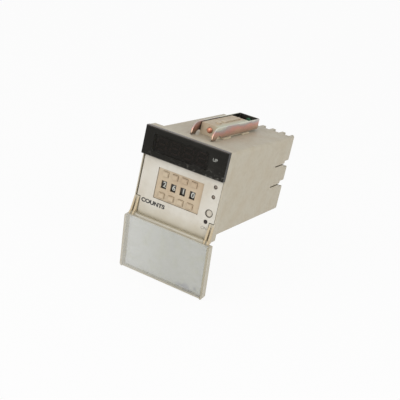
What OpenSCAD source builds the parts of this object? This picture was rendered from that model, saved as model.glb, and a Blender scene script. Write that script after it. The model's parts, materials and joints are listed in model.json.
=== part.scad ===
// Panel-mounted preset counter: a square front with a dark display window and a push-button digit switch
// behind a hinged clear cover, a deep case with screw terminals at the rear, and two screw-drawn clips.
// The origin is the centre of the plane where the flange seats on the panel: X right, Y to the rear, Z up.

/* [Front] */
// Width and height of the square front
front_size = 72; // [70:0.5:76]
// Thickness of the flange that seats on the panel
flange_t = 6.8; // [6.4:0.2:8.4]
// Corner radius of the flange
front_corner_r = 1.2; // [0.6:0.1:2]
// Height of the display window
window_h = 22.8; // [22:0.2:24.4]
// How far the window and the closed cover stand out from the flange
front_proud = 4.4; // [4.2:0.1:5.4]
// Thickness of the window's front pane
window_t = 1.6; // [1.2:0.1:2]
// Bevel round the window's front edges
window_bevel = 0.6; // [0.3:0.1:1]
// Width of the opening behind the window
display_w = 56; // [52:0.5:57]
// Margin of the opening below the window's top edge and above its lower edge
display_margin = 3; // [2.6:0.1:3.6]

/* [Front panel] */
// Thickness of the panel plate
panel_t = 1.8; // [1.4:0.1:2.2]
// Thin rim of the flange outside the panel
rim_w = 0.8; // [0.6:0.1:1.2]
// Dark groove between the rim and the panel's left side
groove_w = 1.2; // [0.6:0.1:1.6]
// Groove between the rim and the panel's right side
right_groove_w = 0.3; // [0.2:0.1:0.6]
// Groove along the panel's lower edge and round the hinge brackets
lower_groove_w = 0.6; // [0.4:0.1:0.8]

/* [Hinged cover] */
// Wall of the clear cover
cover_t = 1.2; // [1:0.1:1.4]
// Thickness of the cover's side walls, which pass outside the flange
cover_side_t = 2; // [1.4:0.1:2.4]
// How far the side walls reach back past the flange's front
cover_lap = 0.9; // [0.4:0.1:2]
// Distance from the cover's outer face to its hinge axis
hinge_depth = 1.9; // [1.8:0.1:2.1]
// Height of the hinge axis above the flange's lower edge
hinge_rise = 0.5; // [0.2:0.1:1]
// Radius of the hinge pins
pin_r = 0.9; // [0.7:0.05:1]
// Thickness of each cover ear
ear_t = 1.3; // [1:0.1:1.6]
// Thickness of the outer cheek of each hinge bracket
cheek_t = 1.4; // [1.2:0.1:1.6]
// Thickness of the inner leaf of each hinge bracket
leaf_t = 1.6; // [1.2:0.1:1.8]
// Radius of the bracket round the pin
knuckle_r = 1.7; // [1.5:0.05:1.8]
// Height of a hinge bracket
bracket_h = 14.5; // [12:0.5:16]
// Corner radius at the cover's free edge
cover_corner_r = 2.5; // [1.6:0.1:4]
// How far the cover swings from closed to its stop
open_angle = 190; // [150:1:190]

/* [Case] */
// Width and height of the case
case_size = 67; // [66.4:0.2:68]
// Depth of the case behind the panel seat
case_depth = 118; // [114:1:130]
// Wall of the case
case_wall = 2.2; // [1.8:0.1:2.4]
// Radius of the case's long edges
case_edge_r = 2; // [1:0.1:2.6]
// How far the case enters the flange
case_seat = 2.4; // [2:0.1:2.8]
// Length of the latch slits in the case's sides
slit_l = 26; // [20:1:30]
// Width of the latch slits
slit_w = 1.2; // [0.8:0.1:1.6]
// Height of the sprung tongue between two slits
tongue_h = 18; // [14:0.5:22]
// Depth of the notches at the case's rear edge
notch_depth = 7.5; // [5:0.5:9]

/* [Digit switch] */
// Pitch of the digits
digit_pitch = 8.45; // [8.3:0.05:8.6]
// Height of the switch face
switch_h = 24.6; // [24.4:0.2:25.2]
// Plain end of the switch face at each side
switch_end = 3.1; // [2.6:0.1:3.4]
// How far the digits sit left of the middle of the switch face
digit_shift = 0.8; // [0:0.1:1]
// Distance from the window's lower edge to the middle of the switch
switch_drop = 19.4; // [18.8:0.1:19.6]
// Recess of the switch face behind the panel's front
switch_recess = 0.8; // [0.4:0.1:1]
// Front wall of the switch
switch_face_t = 1.1; // [0.9:0.1:1.3]
// Radius of the digit wheels
wheel_r = 8.8; // [8.4:0.1:9]
// Width of the digit wheels' rims
wheel_w = 5; // [4.6:0.1:5.2]
// Radius of the axle through the wheels
axle_r = 1.2; // [1:0.1:1.5]
// Width of each sight window
sight_w = 4.8; // [4.2:0.1:5]
// Height of each sight window
sight_h = 6.2; // [5.6:0.1:6.6]
// Width of the push buttons
button_w = 5; // [4.4:0.1:5.4]
// Height of the push buttons
button_h = 4.2; // [3.6:0.1:4.2]
// Distance of the push buttons from the middle of the switch
button_offset = 8.6; // [8.3:0.1:8.7]
// How far the push buttons stand out of the switch face
button_proud = 1.4; // [1:0.1:1.6]
// Travel of the push buttons
button_travel = 0.8; // [0.5:0.1:0.9]

/* [Lamps and reset] */
// Distance of the status lamps from the case's inner wall
lamp_inset = 1.7; // [1.7:0.1:2.4]
// Radius of the status lamps
lamp_r = 1.2; // [1:0.05:1.3]
// Gap round the status lamps
lamp_gap = 0.4; // [0.2:0.05:0.45]
// Recess of the status lamps behind the panel's front
lamp_recess = 0.4; // [0.2:0.1:0.8]
// Place of the upper status lamp below the window, as a share of the panel's height
upper_lamp_share = 0.13; // [0.11:0.01:0.14]
// Place of the lower status lamp below the window, as a share of the panel's height
lower_lamp_share = 0.29; // [0.27:0.01:0.3]
// Distance of the reset button from the case's inner wall
reset_inset = 2.3; // [2.3:0.1:2.8]
// Place of the reset button below the window, as a share of the panel's height
reset_share = 0.56; // [0.54:0.01:0.56]
// Radius of the reset button
reset_r = 2.4; // [2:0.1:2.5]
// Gap round the reset button
reset_gap = 0.9; // [0.4:0.1:0.9]
// Recess of the reset button behind the panel's front
reset_recess = 0.9; // [0.4:0.1:1.2]
// Travel of the reset button
reset_travel = 0.8; // [0.4:0.1:1]
// Distance of the supply lamp from the case's inner wall
supply_inset = 3.3; // [3.2:0.1:4.2]
// Place of the supply lamp below the window, as a share of the panel's height
supply_share = 0.7; // [0.69:0.01:0.71]
// Radius of the supply lamp
supply_r = 1.6; // [1.3:0.05:1.7]

/* [Boards] */
// Thickness of the circuit boards
board_t = 1.6; // [1.2:0.1:2]
// Gap between the front board and the flange's inner wall
post_l = 3.4; // [3:0.1:4]
// Radius of the screws that hold the front board
board_screw_r = 0.85; // [0.7:0.05:1]
// Distance of the side boards from the middle
board_x = 22.2; // [21.8:0.1:23]
// Height of the rails that hold the side boards
rail_h = 2; // [1.5:0.1:2.6]
// Front end of the rails behind the panel seat
rail_front = 12; // [10:1:20]

/* [Terminals] */
// Terminals in each row
terminals = 7; // [5:1:7]
// Thickness of the barriers between the terminals
barrier_t = 2.2; // [1.8:0.1:2.6]
// Distance of the terminal rows from the case's inner wall
row_inset = 8.8; // [8.3:0.1:9.8]
// Recess of the terminal block behind the case's rear edge
terminal_recess = 5; // [4.4:0.1:6]
// Depth of the terminal bays
bay_depth = 11; // [10:0.5:12]
// Thickness of the terminal block behind the bays
base_t = 8; // [7:0.5:10]
// Radius of the terminal screw heads
terminal_head_r = 2.9; // [2.6:0.05:2.95]
// Radius of the terminal screws
terminal_screw_r = 1.75; // [1.5:0.05:1.8]

/* [Mounting clips] */
// Outer width of the steel strap
strap_w = 19.2; // [18:0.2:22]
// Thickness of the strap
strap_t = 1; // [0.8:0.1:1.2]
// Height of the strap's sides
strap_h = 8.4; // [8.2:0.1:10]
// Distance of the prong tips behind the panel seat at rest
prong_y = 11.2; // [10.8:0.2:14]
// Distance of the strap's rear face behind the panel seat at rest
strap_rear = 93; // [90:0.5:96]
// Radius of the prongs' backs
prong_r = 9; // [8:0.1:9.4]
// Front of the clip block
block_front = 24; // [23:0.5:26]
// Rear of the clip block
block_rear = 76; // [72:0.5:78]
// Thickness of the block's feet
foot_t = 1.2; // [1:0.1:1.6]
// Radius of the clamp screw
clamp_r = 2; // [1.5:0.1:2.1]
// Radius of the clamp screw's head
clamp_head_r = 3.6; // [3:0.1:3.9]
// Distance of the clamp screw's tip behind the panel seat at rest
clamp_tip = 21.5; // [19:0.5:23.5]

/* [Clearances] */
// Clearance of parts that are pushed together
fit = 0.1; // [0.05:0.01:0.15]
// Radial clearance of turning pins and shafts
run = 0.05; // [0.02:0.01:0.09]
// Clearance of parts that swing or slide past each other
pass = 0.3; // [0.2:0.02:0.4]

/* [Hidden] */
digits = 4;
$fn = 48;
eps = 0.5;
lap = 0.2;
beige = "#BDB5A1";
cream = "#D6D0C4";
peach = "#CDB9A0";
smoke = "#262622";
brass = "#C9A24B";
steel = "#A98C86";
copper = "#C9785A";
board_green = "#2F6B45";

// Main planes of the front
half_front = front_size / 2;
flange_y = -flange_t;
face_y = flange_y - front_proud;
wall_y = -case_seat;
window_low = half_front - window_h;
panel_back = flange_y + panel_t;
display_low = window_low + display_margin;
display_high = half_front - display_margin;
skirt_t = 1.2;

// Openings of the front frame behind the panel
frame_side = 3;
frame_bar = 2.6;
wide_half = half_front - frame_side;
bracket_in = half_front - cheek_t - ear_t - fit - fit - leaf_t;
bracket_top = bracket_h - half_front;
narrow_half = bracket_in - 1.2;

// Hinge of the cover
pivot_y = face_y + hinge_depth;
pivot_z = hinge_rise - half_front;
slot_in = bracket_in + leaf_t;
slot_out = half_front - cheek_t;
rim_y = flange_y - 2 * fit;
cover_in = half_front + pass + fit;
half_cover = cover_in + cover_side_t;
cover_top = window_low - pass;
barrel_r = hinge_depth - fit;
pin_cap = 0.6;
cover_notch = pivot_z + knuckle_r + pass;

// Inside of the case
case_in = case_size / 2 - case_wall;
half_case = case_size / 2;
front_board_y = wall_y + post_l;
front_board_back = front_board_y + board_t;
post_r = 2;
post_x = case_in - post_r - 0.9;
post_low = pass + post_r - case_in;
narrow_low = post_low + post_r;
rail_gap = board_t / 2 + fit;

// Digit switch
switch_z = window_low - switch_drop;
switch_w = digits * digit_pitch + 2 * switch_end;
switch_y = flange_y + switch_recess;
cell_y = switch_y + switch_face_t;
cell_half = digit_pitch / 2 - 0.5;
cell_h = switch_h - 1.8;
axle_y = cell_y + 0.2 + wheel_r;
switch_rear = axle_y + wheel_r + 0.6;
axle_half = switch_w / 2 - 0.6;
wheel_side = cell_half - 0.2;
ratchet_t = 1;
ratchet_r = 6;
shoulder_rim = 0.35;

// Right column of the front, inside the case and the opening of the frame
column_x = min(case_in, wide_half - 1.7);
lamp_x = column_x - lamp_inset;
reset_x = column_x - reset_inset;
supply_x = column_x - supply_inset;
panel_h = window_low + half_front;
upper_lamp_z = window_low - upper_lamp_share * panel_h;
lower_lamp_z = window_low - lower_lamp_share * panel_h;
reset_z = window_low - reset_share * panel_h;
supply_z = window_low - supply_share * panel_h;
lamp_rim = 0.7;
lamp_rim_t = 0.8;
tact_t = 2;
reset_shoulder_r = reset_r + reset_gap + 0.4;
wide_low = min(bracket_top + 1, reset_z - reset_shoulder_r - pass);

// Rear of the case
block_end = case_depth - terminal_recess;
bay_floor = block_end - bay_depth;
base_front = bay_floor - base_t;
block_half = case_in - 2 * fit;
row_z = case_in - row_inset;
plateau_z = row_z - 9;
terminal_pitch = 2 * (block_half - terminal_head_r) / (terminals - 1);
clamp_plate_t = 1;
wire_w = terminal_pitch - barrier_t - 1;

// Mounting clips, drawn on top of the case
strap_low = half_case + foot_t + pass;
strap_top = strap_low + strap_h;
clamp_z = strap_low + 0.4 * strap_h;
clip_half = strap_w / 2 - strap_t - pass;
nut_y = block_front + 8;
nut_t = 3.2;
nut_half = 1.75 * clamp_r;
hook_ys = [block_front + 10, block_rear - 10];
hook_half = 4;
hook_l = 3;
toe_l = 1.2;

// Parts on the side boards, from the switch back or from the terminal block forward
parts_front = switch_rear + board_t + 5;
coil_x = 10;
coil_y = base_front - 22;
coil_z = -4;
coil_half = board_x - board_t / 2 - coil_x;
coil_side = 9;
coil_high = 7;
leg_half = 4;
stack_half = 5;

function tag(i) = str(i + 1);
function digit_x(i) = (i - (digits - 1) / 2) * digit_pitch - digit_shift;
function terminal_x(i) = (i - (terminals - 1) / 2) * terminal_pitch;

module between(low, high) {
    translate(low) cube(high - low);
}

// A profile in X and Z drawn out along Y
module along_y(y0, y1) {
    translate([0, y1, 0]) rotate([90, 0, 0]) linear_extrude(y1 - y0) children();
}

// A profile in Y and Z drawn out along X
module along_x(x0, x1) {
    translate([x0, 0, 0]) rotate([90, 0, 90]) linear_extrude(x1 - x0) children();
}

module rod_x(x0, x1, r) {
    translate([x0, 0, 0]) rotate([0, 90, 0]) cylinder(h = x1 - x0, r = r);
}

module rod_y(y0, y1, r) {
    translate([0, y0, 0]) rotate([-90, 0, 0]) cylinder(h = y1 - y0, r = r);
}

module cone_y(y0, y1, r0, r1) {
    translate([0, y0, 0]) rotate([-90, 0, 0]) cylinder(h = y1 - y0, r1 = r0, r2 = r1);
}

module rounded(w, h, r) {
    square([w - 2 * r, h], center = true);
    square([w, h - 2 * r], center = true);
    for (x = [-1, 1], z = [-1, 1])
        translate([x * (w / 2 - r), z * (h / 2 - r)]) circle(r);
}

module both_sides() {
    children();
    mirror([1, 0, 0]) children();
}

module top_and_bottom() {
    children();
    mirror([0, 0, 1]) children();
}

// A box whose edges round its front face are bevelled
module bevelled(low, high, bevel) {
    difference() {
        between(low, high);
        for (x = [low[0], high[0]])
            translate([x, low[1], (low[2] + high[2]) / 2]) rotate([0, 0, 45])
                cube([bevel * sqrt(2), bevel * sqrt(2), high[2] - low[2] + eps], center = true);
        for (z = [low[2], high[2]])
            translate([(low[0] + high[0]) / 2, low[1], z]) rotate([45, 0, 0])
                cube([high[0] - low[0] + eps, bevel * sqrt(2), bevel * sqrt(2)], center = true);
    }
}

module case() {
    rail_t = 1.2;
    bead = 0.7;
    color(beige)
        difference() {
            union() {
                difference() {
                    along_y(wall_y, case_depth) rounded(case_size, case_size, case_edge_r);
                    along_y(wall_y - eps, case_depth + eps) square(2 * case_in, center = true);
                }
                top_and_bottom() both_sides()
                    for (x = [board_x - rail_gap - rail_t, board_x + rail_gap])
                        between([x, rail_front, case_in - rail_h], [x + rail_t, base_front, case_in + eps]);
                both_sides()
                    between([case_in - bead, block_end + fit, -tongue_h / 3],
                            [case_in + eps, block_end + 1.5, tongue_h / 3]);
            }
            top_and_bottom() {
                for (i = [0 : terminals - 1])
                    between([terminal_x(i) - wire_w / 2, case_depth - notch_depth, case_in - eps],
                            [terminal_x(i) + wire_w / 2, case_depth + eps, half_case + eps]);
                hook_slots();
            }
            between([-half_case - eps, case_depth - notch_depth, half_case - notch_depth / 2],
                    [terminal_x(0), case_depth + eps, half_case + eps]);
            both_sides() top_and_bottom() {
                slit_z = tongue_h / 2;
                between([case_in - eps, case_depth - slit_l, slit_z - slit_w / 2],
                        [half_case + eps, case_depth + eps, slit_z + slit_w / 2]);
                between([case_in - eps, case_depth - notch_depth, slit_z - 2.8],
                        [half_case + eps, case_depth + eps, slit_z + 2.8]);
            }
        }
}

module hook_slots() {
    for (y = hook_ys)
        between([-hook_half - fit, y - fit, case_in - eps],
                [hook_half + fit, y + hook_l + toe_l + fit, half_case + eps]);
}

// One side of a hinge bracket: a sloped leaf that stays behind the closed cover, with a knuckle round the pin
module bracket_profile() {
    neck_y = face_y + cover_t + pass;
    root = flange_y + eps;
    polygon([[flange_y, bracket_top], [neck_y, cover_notch], [neck_y, pivot_z],
             [root, -half_front], [root, bracket_top]]);
    translate([pivot_y, pivot_z]) circle(knuckle_r);
}

module front_frame() {
    socket = case_size + 2 * fit;
    front = flange_y - eps;
    color(beige)
        difference() {
            union() {
                difference() {
                    along_y(flange_y, 0) rounded(front_size, front_size, front_corner_r);
                    along_y(wall_y, eps) rounded(socket, socket, case_edge_r + fit);
                    along_y(front, panel_back) panel_pocket(0);
                    between([-display_w / 2, front, display_low], [display_w / 2, eps, display_high]);
                    between([-wide_half, front, wide_low], [wide_half, eps, window_low - frame_bar]);
                    between([-narrow_half, front, narrow_low], [narrow_half, eps, wide_low + eps]);
                }
                both_sides() {
                    along_x(bracket_in, slot_in) bracket_profile();
                    along_x(slot_out, half_front) bracket_profile();
                }
                both_sides() for (z = [window_low, post_low])
                    translate([post_x, 0, z]) rod_y(wall_y - eps, front_board_y, post_r);
            }
            both_sides() {
                translate([0, pivot_y, pivot_z]) rod_x(bracket_in - eps, half_front - pin_cap, pin_r + run);
                for (z = [window_low, post_low])
                    translate([post_x, 0, z]) rod_y(wall_y, front_board_y + eps, board_screw_r + run);
            }
        }
}

// Outline of the pocket that takes the panel, drawn in by the grooves for the panel itself
module panel_pocket(share) {
    left = half_front - rim_w - share * groove_w;
    right = half_front - rim_w - share * right_groove_w;
    low = rim_w - half_front + share * lower_groove_w;
    top = window_low - share * 2 * fit;
    corner_x = bracket_in - share * lower_groove_w;
    corner_z = bracket_top + share * lower_groove_w;
    polygon([[-left, top], [right, top], [right, corner_z], [corner_x, corner_z], [corner_x, low],
             [-corner_x, low], [-corner_x, corner_z], [-left, corner_z]]);
}

module front_panel() {
    ring_t = 0.6;
    color(cream)
        difference() {
            union() {
                along_y(flange_y, panel_back) panel_pocket(1);
                translate([supply_x, 0, supply_z])
                    rod_y(flange_y - 0.3, panel_back, supply_r + fit + ring_t);
            }
            along_y(flange_y - eps, panel_back + eps) {
                translate([0, switch_z]) square([switch_w + 2 * fit, switch_h + 2 * fit], center = true);
                translate([reset_x, reset_z]) circle(reset_r + reset_gap);
                translate([lamp_x, upper_lamp_z]) circle(lamp_r + lamp_gap);
                translate([lamp_x, lower_lamp_z]) circle(lamp_r + lamp_gap);
                translate([supply_x, supply_z]) circle(supply_r + fit);
            }
        }
}

module display_window() {
    skirt_l = 2.5;
    color(smoke)
        difference() {
            union() {
                bevelled([-half_front, face_y, window_low], [half_front, flange_y, half_front],
                         window_bevel);
                between([fit - display_w / 2, flange_y - eps, display_low + fit],
                        [display_w / 2 - fit, flange_y + skirt_l, display_high - fit]);
            }
            between([skirt_t - display_w / 2, face_y + window_t, display_low + skirt_t],
                    [display_w / 2 - skirt_t, eps, display_high - skirt_t]);
        }
}

module display_digits() {
    module_w = 11.6;
    module_pitch = 11.8;
    middle = (display_low + display_high) / 2;
    module_h = 2 * min(case_in - pass - middle, display_high - skirt_t - fit - middle);
    front = face_y + window_t + pass;
    bar = 1.2;
    bar_d = 0.3;
    stroke_w = 5.4;
    stroke_h = module_h / 3;
    color("#5A3A36")
        for (i = [0 : 3])
            translate([(i - 1.75) * module_pitch, 0, middle])
                difference() {
                    between([-module_w / 2, front, -module_h / 2],
                            [module_w / 2, front_board_y, module_h / 2]);
                    for (k = [-1, 0, 1])
                        between([-stroke_w / 2, front - eps, k * stroke_h - bar / 2],
                                [stroke_w / 2, front + bar_d, k * stroke_h + bar / 2]);
                    for (x = [-1, 1], k = [-1, 1])
                        translate([x * (stroke_w / 2 + bar), front, k * stroke_h / 2])
                            cube([bar, 2 * bar_d, stroke_h - bar], center = true);
                }
}

module front_board() {
    color(board_green)
        difference() {
            along_y(front_board_y, front_board_back) square(2 * case_in - 1.4, center = true);
            translate([0, 0, switch_z])
                along_y(front_board_y - eps, front_board_back + eps)
                    square([switch_w + 2 * pass, switch_h + 2 * pass], center = true);
            both_sides() for (z = [window_low, post_low])
                translate([post_x, 0, z])
                    rod_y(front_board_y - eps, front_board_back + eps, board_screw_r + 2 * fit);
        }
}

module board_screws() {
    head_t = 1.2;
    head_r = 1.8;
    slot_y = front_board_back + head_t / 2;
    slot_half = 0.25;
    color("silver")
        both_sides() for (z = [window_low, post_low])
            translate([post_x, 0, z])
                difference() {
                    union() {
                        rod_y(front_board_back, front_board_back + head_t, head_r);
                        rod_y(wall_y + 1, front_board_back + eps, board_screw_r);
                    }
                    between([-head_r - eps, slot_y, -slot_half],
                            [head_r + eps, slot_y + head_t, slot_half]);
                }
}

// Front view of the closed cover from a height up, with its corners rounded at the free edge
module cover_outline(half, low, top, r) {
    translate([-half, low]) square([2 * half, top - r - low]);
    translate([0, top - r]) square([2 * (half - r), 2 * r], center = true);
    for (x = [r - half, half - r])
        translate([x, top - r]) circle(r);
}

// The cover as it lies closed over the panel: its side walls pass outside the flange and the brackets
module closed_cover() {
    inner_y = face_y + cover_t;
    ear_root = 4;
    ear_y = pivot_y + pin_r;
    nub = 1;
    nub_half = 1.5;
    along_y(face_y, inner_y) {
        cover_outline(half_cover, cover_notch, cover_top, cover_corner_r);
        translate([pass - bracket_in, pivot_z])
            square([2 * (bracket_in - pass), cover_notch - pivot_z + eps]);
    }
    difference() {
        along_y(face_y + lap, flange_y + cover_lap)
            cover_outline(half_cover, cover_notch, cover_top, cover_corner_r);
        along_y(face_y, rim_y)
            cover_outline(cover_in, cover_notch - eps, cover_top - cover_t, cover_corner_r - cover_t);
        between([-cover_in, rim_y - lap, cover_notch - eps], [cover_in, eps, half_front]);
    }
    both_sides() {
        along_x(slot_in + fit, slot_out - fit) {
            translate([pivot_y, pivot_z]) circle(knuckle_r - fit);
            polygon([[face_y + lap, pivot_z], [ear_y, pivot_z], [ear_y, cover_notch],
                     [inner_y - lap, cover_notch + ear_root], [face_y + lap, cover_notch + ear_root]]);
        }
        translate([0, pivot_y, pivot_z]) rod_x(-eps, half_front - pin_cap - lap, pin_r);
    }
    translate([0, pivot_y, pivot_z]) rod_x(pass - bracket_in, bracket_in - pass, barrel_r);
    for (x = [-half_front / 3, half_front - 2 * cover_corner_r])
        between([x - nub_half, inner_y - lap, cover_top - cover_t - nub],
                [x + nub_half, rim_y - nub, cover_top - lap]);
}

module cover() {
    color("#C3C6BE", 0.6)
        translate([0, pivot_y, pivot_z]) rotate([open_angle, 0, 0])
            translate([0, -pivot_y, -pivot_z]) closed_cover();
}

module switch_frame() {
    lip = 1.6;
    lip_t = 1.2;
    color(peach)
        translate([0, 0, switch_z])
            difference() {
                union() {
                    along_y(switch_y, switch_rear) square([switch_w, switch_h], center = true);
                    along_y(panel_back, panel_back + lip_t)
                        square([switch_w + 2 * lip, switch_h + 2 * lip], center = true);
                }
                for (i = [0 : digits - 1])
                    translate([digit_x(i), 0, 0]) {
                        between([-cell_half, cell_y, -cell_h / 2],
                                [cell_half, switch_rear + eps, cell_h / 2]);
                        along_y(switch_y - eps, cell_y + eps) {
                            square([sight_w, sight_h], center = true);
                            for (z = [-button_offset, button_offset])
                                translate([0, z])
                                    square([button_w + 2 * fit, button_h + 2 * fit], center = true);
                        }
                    }
                translate([0, axle_y, 0]) rod_x(-axle_half - lap, axle_half + lap, axle_r + run);
            }
}

module switch_back() {
    color(board_green)
        translate([0, 0, switch_z])
            along_y(switch_rear, switch_rear + board_t)
                square([switch_w - 4 * lap, switch_h - 8 * lap], center = true);
}

module wheel_axle() {
    color("silver") translate([0, axle_y, switch_z]) rod_x(-axle_half, axle_half, axle_r);
}

// Ten sloped teeth that the push buttons' pawls catch
module ratchet() {
    teeth = 10;
    depth = 1.3;
    polygon([for (k = [0 : teeth - 1], s = [0, 1])
        let (a = (k + 0.12 * s) * 360 / teeth, r = ratchet_r - depth * s)
        r * [cos(a), sin(a)]]);
}

module digit_wheel(i) {
    rim_t = 1.4;
    web_t = 1.2;
    hub_r = axle_r + 1.6;
    color("#202020")
        translate([digit_x(i), axle_y, switch_z])
            difference() {
                union() {
                    difference() {
                        rod_x(-wheel_w / 2, wheel_w / 2, wheel_r);
                        rod_x(-wheel_w / 2 - eps, wheel_w / 2 - web_t, wheel_r - rim_t);
                    }
                    rod_x(-wheel_side, wheel_side, hub_r);
                    along_x(wheel_w / 2 - web_t / 2, wheel_w / 2 + ratchet_t) ratchet();
                }
                rod_x(-wheel_side - eps, wheel_side + eps, axle_r + run);
            }
}

// A push button with its shoulder behind the switch face and its pawl beside the ratchet
// The shoulder is as thick as its travel to the wheel allows
module push_button(i, side) {
    near = button_offset - button_h / 2 - shoulder_rim;
    shoulder_t = axle_y - sqrt(pow(wheel_r, 2) - pow(near, 2)) - cell_y - button_travel - pass;
    pawl_l = 4.4;
    pawl_half = 0.8;
    crown = 0.5;
    tip_y = switch_y - button_proud;
    color(peach)
        translate([digit_x(i), 0, switch_z + side * button_offset]) {
            along_y(tip_y + crown, cell_y + lap) square([button_w, button_h], center = true);
            along_y(tip_y, cell_y) square([button_w - 2 * crown, button_h - 2 * crown], center = true);
            along_y(cell_y, cell_y + shoulder_t)
                square([2 * wheel_side, button_h + 2 * shoulder_rim], center = true);
            between([wheel_w / 2 + fit, cell_y + lap, -pawl_half],
                    [wheel_w / 2 + ratchet_t - fit, cell_y + pawl_l, pawl_half]);
        }
}

module reset_button() {
    stem_end = front_board_y - tact_t - reset_travel - fit;
    stem_r = 1.5;
    shoulder_t = 0.8;
    color(cream)
        translate([reset_x, 0, reset_z]) {
            rod_y(flange_y + reset_recess, panel_back + lap, reset_r);
            rod_y(panel_back, panel_back + shoulder_t, reset_shoulder_r);
            rod_y(panel_back + lap, stem_end, stem_r);
        }
}

module reset_switch() {
    tact_half = 2.1;
    color("#303030")
        translate([reset_x, 0, reset_z])
            between([-tact_half, front_board_y - tact_t, -tact_half],
                    [tact_half, front_board_y, tact_half]);
}

// A lamp with a rim behind the panel and two legs to the front board
module lamp(x, z, r, proud) {
    body_end = panel_back + 3.2;
    tip_y = flange_y - proud;
    crown = 0.4;
    leg_z = 0.7;
    leg_r = 0.25;
    translate([x, 0, z]) {
        rod_y(tip_y + crown, body_end, r);
        cone_y(tip_y, tip_y + crown, r - crown, r);
        rod_y(panel_back, panel_back + lamp_rim_t, r + lamp_rim);
        for (leg = [-leg_z, leg_z])
            translate([0, 0, leg]) rod_y(body_end - lap, front_board_y, leg_r);
    }
}

module upper_lamp() {
    color(cream) lamp(lamp_x, upper_lamp_z, lamp_r, -lamp_recess);
}

module lower_lamp() {
    color(cream) lamp(lamp_x, lower_lamp_z, lamp_r, -lamp_recess);
}

module supply_lamp() {
    color("#1C1414") lamp(supply_x, supply_z, supply_r, 0.1);
}

module side_board() {
    high = case_in - pass;
    between([-board_t / 2, front_board_back, -high], [board_t / 2, base_front, high]);
}

module main_board() {
    color(board_green) translate([-board_x, 0, 0]) side_board();
}

module power_board() {
    color(board_green) translate([board_x, 0, 0]) side_board();
}

module logic_chips() {
    chip_l = 20;
    chip_w = 7;
    chip_t = 3.8;
    chip_pitch = 12;
    lowest = -4;
    color("#252525")
        for (i = [0 : 2])
            translate([board_t / 2 - board_x, parts_front + chip_l / 2, lowest + i * chip_pitch])
                difference() {
                    between([0, -chip_l / 2, -chip_w / 2], [chip_t, chip_l / 2, chip_w / 2]);
                    translate([0, -chip_l / 2, 0]) rod_x(chip_t - 0.5, chip_t + eps, 1);
                }
}

module output_relay() {
    relay_t = 15;
    relay_l = 19;
    relay_h = 15.4;
    relay_gap = 15;
    low = -24;
    bevel = 0.8;
    color("#3E5C7A")
        translate([board_t / 2 - board_x, base_front - relay_gap - relay_l, low])
            bevelled_top([relay_t, relay_l, relay_h], bevel);
}

// A box with its edges bevelled round the face that is farthest along X
module bevelled_top(size, bevel) {
    translate([0, size[1], 0]) mirror([0, 1, 0]) rotate([0, 0, 90])
        translate([0, -size[0], 0]) bevelled([0, 0, 0], [size[1], size[0], size[2]], bevel);
}

module transformer_core() {
    yoke = 5;
    outer = coil_side + fit + yoke;
    high = coil_high + fit + yoke;
    color("#6E7074")
        translate([coil_x, coil_y, coil_z])
            difference() {
                between([-stack_half, -outer, -high], [stack_half, outer, high]);
                for (y = [-coil_side - fit, leg_half])
                    between([-stack_half - eps, y, -coil_high - fit],
                            [stack_half + eps, y + coil_side + fit - leg_half, coil_high + fit]);
            }
}

module transformer_coil() {
    color("#B9803A")
        translate([coil_x, coil_y, coil_z])
            difference() {
                between([-coil_half, -coil_side, -coil_high], [coil_half, coil_side, coil_high]);
                between([-stack_half - fit, -leg_half - fit, -coil_high - eps],
                        [stack_half + fit, leg_half + fit, coil_high + eps]);
            }
}

module capacitors() {
    large_r = 5;
    large_l = 15;
    large_z = -14;
    small_r = 4;
    small_l = 12;
    small_z = 10;
    color("#2A3550") {
        capacitor(parts_front + 2 * small_r + 2 * large_r, large_z, large_r, large_l);
        capacitor(parts_front + small_r, small_z, small_r, small_l);
    }
}

// A can on the power board with the groove that seals it
module capacitor(y, z, r, l) {
    groove_r = 0.6;
    translate([board_x - board_t / 2, y, z])
        difference() {
            rod_x(-l, 0, r);
            rotate([0, -90, 0]) translate([0, 0, 2])
                rotate_extrude() translate([r + groove_r / 2, 0]) circle(groove_r);
        }
}

module terminal_block() {
    color("#3A3733")
        difference() {
            union() {
                along_y(base_front, bay_floor) square(2 * block_half, center = true);
                between([-block_half, bay_floor - eps, -plateau_z], [block_half, block_end, plateau_z]);
                top_and_bottom()
                    for (i = [0 : terminals - 2])
                        translate([terminal_x(i) + terminal_pitch / 2, 0, 0])
                            between([-barrier_t / 2, bay_floor - eps, plateau_z - eps],
                                    [barrier_t / 2, block_end, block_half]);
            }
            top_and_bottom()
                for (i = [0 : terminals - 1])
                    translate([terminal_x(i), 0, row_z])
                        rod_y(base_front + 1, bay_floor + eps, terminal_screw_r + run);
        }
}

module terminal_clamps() {
    half_w = 2.7;
    half_h = 3.6;
    lip_t = 0.9;
    lip_h = 1;
    color(brass)
        top_and_bottom()
            for (i = [0 : terminals - 1])
                translate([terminal_x(i), bay_floor, row_z])
                    difference() {
                        union() {
                            between([-half_w, 0, -half_h], [half_w, clamp_plate_t, half_h]);
                            between([-half_w, 0, -half_h - lip_t],
                                    [half_w, clamp_plate_t + lip_h, -half_h]);
                        }
                        rod_y(-eps, clamp_plate_t + eps, terminal_screw_r + 3 * run);
                    }
}

module terminal_screws() {
    head_t = 2.2;
    slot_w = 0.8;
    slot_d = 1;
    slot_half = 2;
    bevel = 0.5;
    head = bay_floor + clamp_plate_t;
    top = head + head_t;
    color("silver")
        top_and_bottom()
            for (i = [0 : terminals - 1])
                translate([terminal_x(i), 0, row_z])
                    difference() {
                        union() {
                            rod_y(head, top - bevel, terminal_head_r);
                            cone_y(top - bevel, top, terminal_head_r, terminal_head_r - bevel);
                            rod_y(base_front + 2, head + lap, terminal_screw_r);
                        }
                        for (a = [0, 90])
                            rotate([0, a, 0])
                                between([-slot_w / 2, top - slot_d, -slot_half],
                                        [slot_w / 2, top + eps, slot_half]);
                    }
}

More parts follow.
